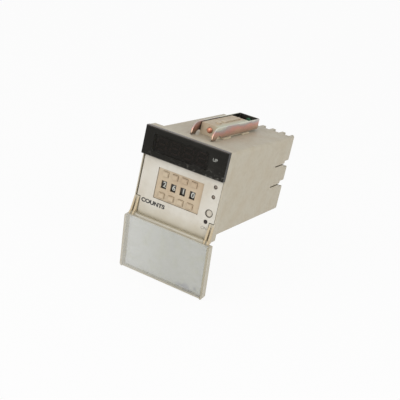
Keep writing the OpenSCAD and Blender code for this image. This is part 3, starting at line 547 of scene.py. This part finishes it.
def cast_segments(name, body, lit, front):
    """Epoxy cast round the display's segments: glossy red brown, with paler segments sunk into its front."""
    finish, tree, shader = new_finish(name, {"IOR": 1.55, "Roughness": 0.35})
    place = add(tree, "ShaderNodeTexCoord").outputs["Object"]
    axes = add(tree, "ShaderNodeSeparateXYZ", {"Vector": place})
    sunk = add(
        tree,
        "ShaderNodeMapRange",
        {"Value": axes.outputs["Y"], "From Min": front + 0.1 * MM, "From Max": front + 0.25 * MM},
    )
    clouds = add(tree, "ShaderNodeTexNoise", {"Vector": place, "Scale": scale_of(5), "Detail": 3.0})
    dulled = add(
        tree,
        "ShaderNodeMapRange",
        {"Value": clouds, "From Min": 0.35, "From Max": 0.7, "To Min": 1.0, "To Max": 0.4},
    )
    share = add(tree, "ShaderNodeMath", {0: sunk, 1: dulled}, operation="MULTIPLY")
    colour = add(tree, "ShaderNodeMix", {0: share, 6: opaque(body), 7: opaque(lit)}, data_type="RGBA")
    feed(tree, shader, {"Base Color": colour})
    return finish


def shown_rays(tree):
    """Node that is 1 for the rays that show a surface, straight, in a gloss or through glass."""
    path = add(tree, "ShaderNodeLightPath").outputs
    shown = path["Is Camera Ray"]
    for ray in ("Is Glossy Ray", "Is Transmission Ray"):
        shown = add(tree, "ShaderNodeMath", {0: shown, 1: path[ray]}, operation="MAXIMUM")
    return shown


def dress(finish, *nodes):
    """Gives CAD nodes a finish."""
    for node in nodes:
        mesh = NODES[node].data
        mesh.materials.clear()
        mesh.materials.append(finish)


def soften(width, *nodes):
    """Rounds the sharp edges of CAD nodes with modifiers, as a mould or tumbling leaves them."""
    for node in nodes:
        mods = NODES[node].modifiers
        weld = mods.new("Weld", "WELD")
        weld.merge_threshold = 0.002 * MM
        flat = mods.new("Flat faces", "DECIMATE")
        flat.decimate_type = "DISSOLVE"
        flat.angle_limit = math.radians(0.5)
        round_off = mods.new("Soft edges", "BEVEL")
        round_off.width = width
        round_off.segments = 2
        round_off.limit_method = "ANGLE"
        round_off.angle_limit = math.radians(35)
        round_off.harden_normals = True


def lettering(words, height, depth, width=0.0, bold=0.0):
    """A solid mesh of words in Blender's own font, centred, of a given height and width."""
    curve = bpy.data.curves.new(words, "FONT")
    curve.body = words
    curve.extrude = 0.5
    curve.offset = bold
    holder = bpy.data.objects.new(words, curve)
    bpy.context.scene.collection.objects.link(holder)
    graph = bpy.context.evaluated_depsgraph_get()
    mesh = bpy.data.meshes.new_from_object(holder.evaluated_get(graph))
    bpy.data.objects.remove(holder)
    bpy.data.curves.remove(curve)
    low = Vector([min(v.co[k] for v in mesh.vertices) for k in range(3)])
    high = Vector([max(v.co[k] for v in mesh.vertices) for k in range(3)])
    tall = height / (high.y - low.y)
    wide = width / (high.x - low.x) if width else tall
    mesh.transform(Matrix.Translation(-(low + high) / 2))
    mesh.transform(Matrix.Diagonal((wide, tall, depth, 1)))
    return mesh


def joined(name, meshes):
    """One object made of several meshes."""
    whole = bmesh.new()
    for mesh in meshes:
        whole.from_mesh(mesh)
        bpy.data.meshes.remove(mesh)
    bmesh.ops.remove_doubles(whole, verts=whole.verts, dist=0.001 * MM)
    data = bpy.data.meshes.new(name)
    whole.to_mesh(data)
    whole.free()
    piece = bpy.data.objects.new(name, data)
    bpy.context.scene.collection.objects.link(piece)
    return piece


def fit_out(piece, finish, body):
    """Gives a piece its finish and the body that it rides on."""
    piece.data.materials.append(finish)
    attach(piece, body)


def lay_print(name, mesh, place, ink):
    """Lays flat lettering on the front, with its middle at a place."""
    mesh.transform(FRONT)
    mesh.transform(Matrix.Translation(place))
    fit_out(joined(name, [mesh]), ink, "counter")


def wrapped(mesh, centre, radius, turn):
    """Wraps a flat mesh round a wheel's rim, turned about its axle from the front."""
    flat = bmesh.new()
    flat.from_mesh(mesh)
    high = max(v.co.y for v in flat.verts)
    cuts = 9
    for cut in range(1 - cuts, cuts):
        bmesh.ops.bisect_plane(
            flat,
            geom=flat.verts[:] + flat.edges[:] + flat.faces[:],
            plane_co=(0, high * cut / cuts, 0),
            plane_no=(0, 1, 0),
        )
    for vert in flat.verts:
        angle = vert.co.y / radius + turn
        out = radius + vert.co.z
        vert.co = (
            centre[0] + vert.co.x,
            centre[1] - out * math.cos(angle),
            centre[2] + out * math.sin(angle),
        )
    flat.to_mesh(mesh)
    flat.free()
    return mesh


def around(centre, y, out, turn):
    """A point at a distance from an axis along Y, a share of a turn round it."""
    angle = 2 * math.pi * turn
    return (centre.x + out * math.cos(angle), y, centre.z + out * math.sin(angle))


def ring_solid(name, rings):
    """A closed mesh through rings of points that follow one another along Y."""
    solid = bmesh.new()
    loops = [[solid.verts.new(point) for point in ring] for ring in rings]
    for near, far in zip(loops, loops[1:]):
        for side in range(len(near)):
            after = (side + 1) % len(near)
            solid.faces.new((near[side], far[side], far[after], near[after]))
    solid.faces.new(loops[0])
    solid.faces.new(reversed(loops[-1]))
    bmesh.ops.recalc_face_normals(solid, faces=solid.faces)
    mesh = bpy.data.meshes.new(name)
    solid.to_mesh(mesh)
    solid.free()
    return mesh


def threaded_rod(start, end, centre, radius, pitch):
    """A closed rod along Y with a cut thread, pointed at its start."""
    sides = 20
    steps = round(4 * (end - start) / pitch)
    depth = 0.6 * pitch
    rings = []
    for step in range(steps + 1):
        y = start + (end - start) * step / steps
        cap = min(1, 0.6 + (y - start) / radius * 1.2)
        ring = []
        for side in range(sides):
            turn = side / sides
            phase = ((y - start) / pitch + turn) % 1
            ring.append(around(centre, y, radius * cap - depth * abs(2 * phase - 1), turn))
        rings.append(ring)
    return ring_solid("thread", rings)


def turned_ring(profile, centre):
    """A closed solid turned round an axis along Y from a profile of (y, radius)."""
    sides = 40
    rings = [[around(centre, y, radius, side / sides) for side in range(sides)] for y, radius in profile]
    return ring_solid("turned", rings)


def cross_cut(mesh, centre, end, half_w, half_l, depth):
    """Cuts a crossed driver slot into the end of a solid that faces +Y."""
    head = bpy.data.objects.new("head", mesh)
    cutter = bmesh.new()
    for half_x, half_z in ((half_l, half_w), (half_w, half_l)):
        bar = bmesh.ops.create_cube(cutter, size=1)["verts"]
        bmesh.ops.scale(cutter, vec=(2 * half_x, 2 * depth, 2 * half_z), verts=bar)
        bmesh.ops.translate(cutter, vec=(centre.x, end, centre.z), verts=bar)
    cut_data = bpy.data.meshes.new("slot")
    cutter.to_mesh(cut_data)
    cutter.free()
    slot = bpy.data.objects.new("slot", cut_data)
    for each in (head, slot):
        bpy.context.scene.collection.objects.link(each)
    cut = head.modifiers.new("Slot", "BOOLEAN")
    cut.operation = "DIFFERENCE"
    cut.object = slot
    cut.use_self = True
    graph = bpy.context.evaluated_depsgraph_get()
    done = bpy.data.meshes.new_from_object(head.evaluated_get(graph))
    for each in (head, slot):
        bpy.data.objects.remove(each)
    return done


def clamp_screw(node, pitch):
    """A long screw with a cut thread, a collar and a crossed slot, in the place of its CAD node."""
    shank_r = 2 * MM
    head_t = 2.4 * MM
    sunk = 0.2 * MM
    edge = 0.4 * MM
    collar_gap = 1.9 * MM
    collar_t = 0.8 * MM
    collar_r = shank_r + 1.2 * MM
    slot_half_w = 0.5 * MM
    slot_half_l = 2.2 * MM
    slot_depth = 1.4 * MM
    low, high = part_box(node)
    centre = (low + high) / 2
    head_r = (high.x - low.x) / 2
    head_low = high.y - head_t
    shank = threaded_rod(low.y, head_low + sunk, centre, shank_r, pitch)
    collar_y = head_low - collar_gap
    collar = turned_ring(
        [
            (collar_y, collar_r - edge),
            (collar_y + edge / 2, collar_r),
            (collar_y + edge, collar_r),
            (collar_y + collar_t, collar_r - edge),
        ],
        centre,
    )
    head = turned_ring(
        [
            (head_low, head_r - edge / 2),
            (head_low + edge / 2, head_r),
            (high.y - edge, head_r),
            (high.y - edge / 3, head_r - edge / 3),
            (high.y, head_r - edge),
        ],
        centre,
    )
    slotted = cross_cut(head, centre, high.y, slot_half_w, slot_half_l, slot_depth)
    piece = joined(node.replace("clip_screw", "threaded_screw"), [shank, collar, slotted])
    for face in piece.data.polygons:
        face.use_smooth = len(face.vertices) == 4
    piece.data.set_sharp_from_angle(angle=math.radians(40))
    return piece


class COUNTER_OT_case(bpy.types.Operator):
    """Finish the case and the front frame"""

    bl_idname = "counter.case"
    bl_label = "Case"

    def execute(self, context):
        colours = context.scene.counter_colours
        dress(moulded_plastic("ABS, grained mould, beige", colours.case, colours.case_aged, 0.5), "case")
        # The brackets are what stands out in front of the flange
        flange_y = -6.9 * MM
        bracket_y = -7.4 * MM
        handled = moulded_plastic(
            "ABS, grained mould, beige, handled",
            colours.case,
            colours.case_aged,
            0.45,
            tints=[(colours.bracket, "Y", flange_y, bracket_y)],
        )
        dress(handled, "front_frame")
        soften(context.scene.counter_sizes.mould_edge, "case", "front_frame")
        return {"FINISHED"}


class COUNTER_OT_front(bpy.types.Operator):
    """Finish the panel, the window, the lamps and the reset button"""

    bl_idname = "counter.front"
    bl_label = "Front"

    def execute(self, context):
        colours = context.scene.counter_colours
        edge = context.scene.counter_sizes.mould_edge
        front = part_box("front_panel")[0].y + RING_H
        fade_start_z = -24 * MM
        fade_end_z = -37 * MM
        panel = moulded_plastic(
            "ABS, satin mould, cream",
            colours.panel,
            colours.panel_aged,
            0.46,
            corner_shade=0.75,
            tints=[
                # Darker and yellower towards the panel's lower edge
                (colours.panel_low, "Z", fade_start_z, fade_end_z),
                # Painted shade on the surfaces that lie deeper than the panel's face
                (colours.recess, "Y", front + 0.4 * MM, front + 1.0 * MM),
            ],
        )
        dress(panel, "front_panel")
        dulled = toned(colours.panel_aged, 0.72)
        button = moulded_plastic("ABS, satin mould, grey cream", colours.panel_aged, dulled, 0.4)
        dress(button, "reset_button")
        smoked = smoked_acrylic(
            "Acrylic, smoked and polished",
            colours.window,
            colours.window_haze,
            colours.window_lip,
            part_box("display_window")[1].z,
            *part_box("display_digits"),
        )
        dress(smoked, "display_window")
        milky = toned(colours.lens, 0.75)
        lens = moulded_plastic("Acrylic, milky, moulded", colours.lens, milky, 0.3, 1.49, 0.3)
        dress(lens, "upper_lamp", "lower_lamp")
        black = toned(colours.dark_lens, 0.5)
        dark_lens = moulded_plastic("Acrylic, dark red, moulded", colours.dark_lens, black, 0.25, 1.49)
        dress(dark_lens, "supply_lamp")
        soften(edge, "front_panel", "display_window")
        soften(edge / 2, "reset_button", "upper_lamp", "lower_lamp", "supply_lamp")
        return {"FINISHED"}


class COUNTER_OT_switch(bpy.types.Operator):
    """Finish the digit switch and print the digits round its wheels"""

    bl_idname = "counter.switch"
    bl_label = "Digit switch"

    def execute(self, context):
        colours = context.scene.counter_colours
        sizes = context.scene.counter_sizes
        peach = moulded_plastic(
            "ABS, satin mould, peach", colours.switch, colours.switch_aged, 0.45, corner_shade=0.7
        )
        dress(peach, "switch_frame")
        soften(sizes.mould_edge / 2, "switch_frame")
        black = moulded_plastic("ABS, satin mould, black", colours.wheel, toned(colours.wheel, 1.8), 0.45)
        ink = printed_ink("Ink, pad printed, white", colours.digit_ink, colours.wheel)
        for i, shown in enumerate(SHOWN_DIGITS):
            buttons = (f"plus_button_{i + 1}", f"minus_button_{i + 1}")
            dress(peach, *buttons)
            soften(sizes.mould_edge, *buttons)
            wheel = f"digit_wheel_{i + 1}"
            dress(black, wheel)
            low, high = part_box(wheel)
            centre = JOINTS[f"wheel_{i + 1}_turn"]["pos_m"]
            radius = (high.z - low.z) / 2
            marks = []
            for digit in range(WHEEL_DIGITS):
                flat = lettering(str(digit), sizes.digit_h, sizes.ink_t, bold=0.02)
                turn = math.radians((digit - shown) * 360 / WHEEL_DIGITS)
                marks.append(wrapped(flat, centre, radius, turn))
            fit_out(joined(f"wheel_digits_{i + 1}", marks), ink, f"wheel_{i + 1}")
        return {"FINISHED"}


class COUNTER_OT_cover(bpy.types.Operator):
    """Finish the clear hinged cover"""

    bl_idname = "counter.cover"
    bl_label = "Cover"

    def execute(self, context):
        colours = context.scene.counter_colours
        clear = clear_polycarbonate(
            "Polycarbonate, clear, scuffed", colours.cover, colours.cover_rim, *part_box("cover")
        )
        dress(clear, "cover")
        soften(context.scene.counter_sizes.sheet_edge, "cover")
        return {"FINISHED"}


class COUNTER_OT_clips(bpy.types.Operator):
    """Finish the mounting clips"""

    bl_idname = "counter.clips"
    bl_label = "Mounting clips"

    def execute(self, context):
        colours = context.scene.counter_colours
        sizes = context.scene.counter_sizes
        low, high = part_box("upper_clip_strap")
        block_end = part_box("upper_clip_block")[1].y
        case_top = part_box("case")[1].z
        steel = chromated_steel(
            "Steel, zinc and chromate plated", colours.zinc_rose, colours.zinc_tan, colours.zinc_blue,
            colours.zinc_edge, colours.zinc_hollow, low, high, block_end,
        )
        shaded_head_y = block_end + 12 * MM
        copper = plated_metal(
            "Steel, copper coloured plating", colours.copper, colours.copper_dark, 0.3, 4,
            head=colours.olive, head_y=shaded_head_y,
        )
        # A painted reflection of the plated strap on the right of the blocks, but not on their feet
        nylon = moulded_plastic(
            "Nylon, moulded, beige",
            colours.clip,
            colours.clip_aged,
            0.5,
            tints=[
                (colours.clip_pale, "X", 2.5 * MM, 6.5 * MM),
                (colours.clip, "Z", case_top + 2.2 * MM, case_top + 1.6 * MM),
            ],
        )
        zinc = plated_metal("Steel, zinc plated, clip nuts", colours.zinc, toned(colours.zinc, 0.6), 0.35, 3)
        for side in ("upper", "lower"):
            dress(steel, f"{side}_clip_strap")
            screw = clamp_screw(f"{side}_clip_screw", sizes.thread_pitch)
            fit_out(screw, copper, f"{side}_screw")
            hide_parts(f"{side}_clip_screw")
            dress(copper, f"{side}_clip_screw")
            dress(nylon, f"{side}_clip_block")
            dress(zinc, f"{side}_clip_nut")
            soften(sizes.sheet_edge, f"{side}_clip_strap", f"{side}_clip_nut")
            soften(sizes.mould_edge, f"{side}_clip_block")
        return {"FINISHED"}


class COUNTER_OT_terminals(bpy.types.Operator):
    """Finish the terminal block and print the terminal numbers"""

    bl_idname = "counter.terminals"
    bl_label = "Terminals"

    def execute(self, context):
        colours = context.scene.counter_colours
        sizes = context.scene.counter_sizes
        grey = toned(colours.block, 1.4)
        dress(moulded_plastic("Phenolic, moulded, dark", colours.block, grey, 0.42, 1.6), "terminal_block")
        zinc = plated_metal("Steel, zinc plated", colours.zinc, toned(colours.zinc, 0.6), 0.32, 2)
        dress(zinc, "terminal_screws", "board_screws", "wheel_axle")
        tarnish = toned(colours.brass, 0.55)
        dress(plated_metal("Brass, nickelled", colours.brass, tarnish, 0.3, 3), "terminal_clamps")
        soften(sizes.mould_edge, "terminal_block")
        soften(sizes.sheet_edge, "terminal_screws", "terminal_clamps", "board_screws")
        ink = printed_ink("Ink, pad printed, pale", colours.digit_ink, colours.block)
        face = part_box("terminal_block")[1].y
        number_gap = 2.4 * MM
        numbers = []
        for opening in frame["record"]["physics"]["openings"]:
            row, found, place = opening["name"].partition("_terminal_bay_")
            if not found:
                continue
            # Numbered from the left as seen from the rear, first along the upper row
            side = 1 if row == "upper" else -1
            last = ROW_TERMINALS if row == "upper" else 2 * ROW_TERMINALS
            near, far = opening["box_m"]
            number = lettering(str(last + 1 - int(place)), sizes.number_h, sizes.ink_t)
            number.transform(REAR)
            middle = (near[0] + far[0]) / 2
            inner = min(abs(near[2]), abs(far[2]))
            number.transform(Matrix.Translation((middle, face, side * (inner - number_gap))))
            numbers.append(number)
        if not numbers:
            raise RuntimeError("the record names no terminal bays")
        fit_out(joined("terminal_numbers", numbers), ink, "counter")
        return {"FINISHED"}


class COUNTER_OT_inside(bpy.types.Operator):
    """Finish the boards and the parts inside the case"""

    bl_idname = "counter.inside"
    bl_label = "Inside"

    def execute(self, context):
        colours = context.scene.counter_colours
        boards = ("front_board", "switch_back", "main_board", "power_board")
        dress(masked_laminate("Glass laminate, green solder mask", colours.mask), *boards)
        resin = moulded_plastic("Epoxy, moulded, black", linear("252525"), linear("343231"), 0.5, 1.55)
        dress(resin, "logic_chips", "reset_switch")
        blue = moulded_plastic("PBT, moulded, blue", linear("3E5C7A"), linear("34506B"), 0.35, 1.57)
        dress(blue, "output_relay", "capacitors")
        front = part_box("display_digits")[0].y
        epoxy = cast_segments("Epoxy, cast, red brown", linear("3A2421"), linear("B5857A"), front)
        dress(epoxy, "display_digits")
        steel = plated_metal("Steel, laminated and varnished", linear("6E7074"), linear("45474A"), 0.45, 2)
        dress(steel, "transformer_core")
        wire = plated_metal("Copper, enamelled winding", linear("B9803A"), linear("8A5A26"), 0.35, 1)
        dress(wire, "transformer_coil")
        return {"FINISHED"}


class COUNTER_OT_prints(bpy.types.Operator):
    """Print the marks on the front"""

    bl_idname = "counter.prints"
    bl_label = "Prints"

    def execute(self, context):
        colours = context.scene.counter_colours
        sizes = context.scene.counter_sizes
        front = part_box("front_panel")[0].y + RING_H
        ink = printed_ink("Ink, screen printed, dark", colours.dark_ink, colours.panel)
        word = lettering("COUNTS", sizes.word_h, sizes.ink_t, sizes.word_w, bold=0.06)
        lay_print("word_print", word, (sizes.word_x, front, sizes.word_z), ink)
        faded = [0.7 * dark + 0.3 * pale for dark, pale in zip(colours.dark_ink, colours.panel)]
        grey = printed_ink("Ink, screen printed, faded", faded, colours.panel)
        low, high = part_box("supply_lamp")
        mark_x = (low.x + high.x) / 2 - 0.4 * MM
        mark_z = low.z - 2.9 * MM
        mark = lettering("ON", sizes.number_h, sizes.ink_t)
        lay_print("supply_print", mark, (mark_x, front, mark_z), grey)
        pale = printed_ink("Ink, screen printed, pale", toned(colours.digit_ink, 0.55), colours.window)
        window_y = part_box("display_window")[0].y
        sign = lettering("UP", sizes.number_h, sizes.ink_t, bold=0.02)
        lay_print("count_print", sign, (sizes.sign_x, window_y, sizes.sign_z), pale)
        return {"FINISHED"}


class COUNTER_OT_stage(bpy.types.Operator):
    """Set the camera, the pale floor and the soft light"""

    bl_idname = "counter.stage"
    bl_label = "Stage"

    def execute(self, context):
        stage = context.scene.counter_stage
        scene = context.scene
        scene.view_settings.view_transform = "Standard"
        camera = bpy.data.objects.new("camera", bpy.data.cameras.new("camera"))
        scene.collection.objects.link(camera)
        camera.data.lens = stage.lens
        camera.data.clip_end = 20
        gaze = Vector(stage.gaze).normalized()
        right = Vector(stage.right).normalized()
        up = right.cross(gaze)
        turn = Matrix((right, up, -gaze)).transposed().to_4x4()
        camera.matrix_world = Matrix.Translation(stage.eye) @ turn
        scene.camera = camera

        floor_half = 30
        floor_gap = 0.5 * MM
        floor_z = CAD_BOX[0][2] - floor_gap
        quarters = ((-1, -1), (1, -1), (1, 1), (-1, 1))
        corners = [(x * floor_half, y * floor_half, floor_z) for x, y in quarters]
        data = bpy.data.meshes.new("floor")
        data.from_pydata(corners, [], [(0, 1, 2, 3)])
        floor = bpy.data.objects.new("floor", data)
        scene.collection.objects.link(floor)
        # Painted board: matt and pale, shown nearly white but keeping the object's shadow
        finish, tree, shader = new_finish(
            "Board, matt white paint", {"Roughness": 0.9, "Base Color": opaque(stage.floor)}
        )
        share = add(tree, "ShaderNodeMath", {0: shown_rays(tree), 1: 0.93}, operation="MULTIPLY")
        white = add(tree, "ShaderNodeEmission", {"Color": (1, 1, 1, 1), "Strength": 1.0})
        both = add(tree, "ShaderNodeMixShader", {0: share, 1: shader, 2: white})
        feed(tree, tree.nodes["Material Output"], {"Surface": both})
        data.materials.append(finish)

        world = bpy.data.worlds.new("studio")
        world.use_nodes = True
        scene.world = world
        tree = world.node_tree
        strength = add(
            tree, "ShaderNodeMapRange", {"Value": shown_rays(tree), "To Min": stage.ambient, "To Max": 1.0}
        )
        feed(tree, tree.nodes["Background"], {"Color": (1, 1, 1, 1), "Strength": strength})

        middle = Vector((0, 0.03, -0.01))
        for name, place, size, power in (
            ("key", (-0.25, -1.0, 0.45), 0.7, stage.key),
            ("fill", (0.9, -0.35, 0.3), 0.7, stage.fill),
        ):
            lamp = bpy.data.objects.new(name, bpy.data.lights.new(name, "AREA"))
            lamp.data.size = size
            lamp.data.energy = power
            scene.collection.objects.link(lamp)
            lamp.location = place
            lamp.rotation_euler = (middle - lamp.location).to_track_quat("-Z", "Y").to_euler()
        return {"FINISHED"}


class COUNTER_PT_sidebar(bpy.types.Panel):
    """Sizes, colours and steps of the counter"""

    bl_idname = "COUNTER_PT_sidebar"
    bl_label = "Preset panel counter"
    bl_space_type = "VIEW_3D"
    bl_region_type = "UI"
    bl_category = "Counter"

    def draw(self, context):
        for group_name, kind in GROUPS.items():
            box = self.layout.box()
            for name in kind.__annotations__:
                box.prop(getattr(context.scene, group_name), name)
        for step in STEPS:
            self.layout.operator(step.bl_idname)


STEPS = (
    COUNTER_OT_stage,
    COUNTER_OT_case,
    COUNTER_OT_front,
    COUNTER_OT_switch,
    COUNTER_OT_cover,
    COUNTER_OT_clips,
    COUNTER_OT_terminals,
    COUNTER_OT_inside,
    COUNTER_OT_prints,
)
GROUPS = {"counter_sizes": CounterSizes, "counter_colours": CounterColours, "counter_stage": CounterStage}
CLASSES = (*GROUPS.values(), *STEPS, COUNTER_PT_sidebar)


def register():
    """Registers the classes and hangs their settings on the scene."""
    for each in CLASSES:
        bpy.utils.register_class(each)
    for name, group in GROUPS.items():
        setattr(bpy.types.Scene, name, bpy.props.PointerProperty(type=group))


def unregister():
    """Takes the settings and the classes away again."""
    for name in GROUPS:
        delattr(bpy.types.Scene, name)
    for each in reversed(CLASSES):
        bpy.utils.unregister_class(each)


def main():
    """Runs every step."""
    register()
    for step in STEPS:
        family, name = step.bl_idname.split(".")
        getattr(getattr(bpy.ops, family), name)()


if __name__ == "__main__":
    main()
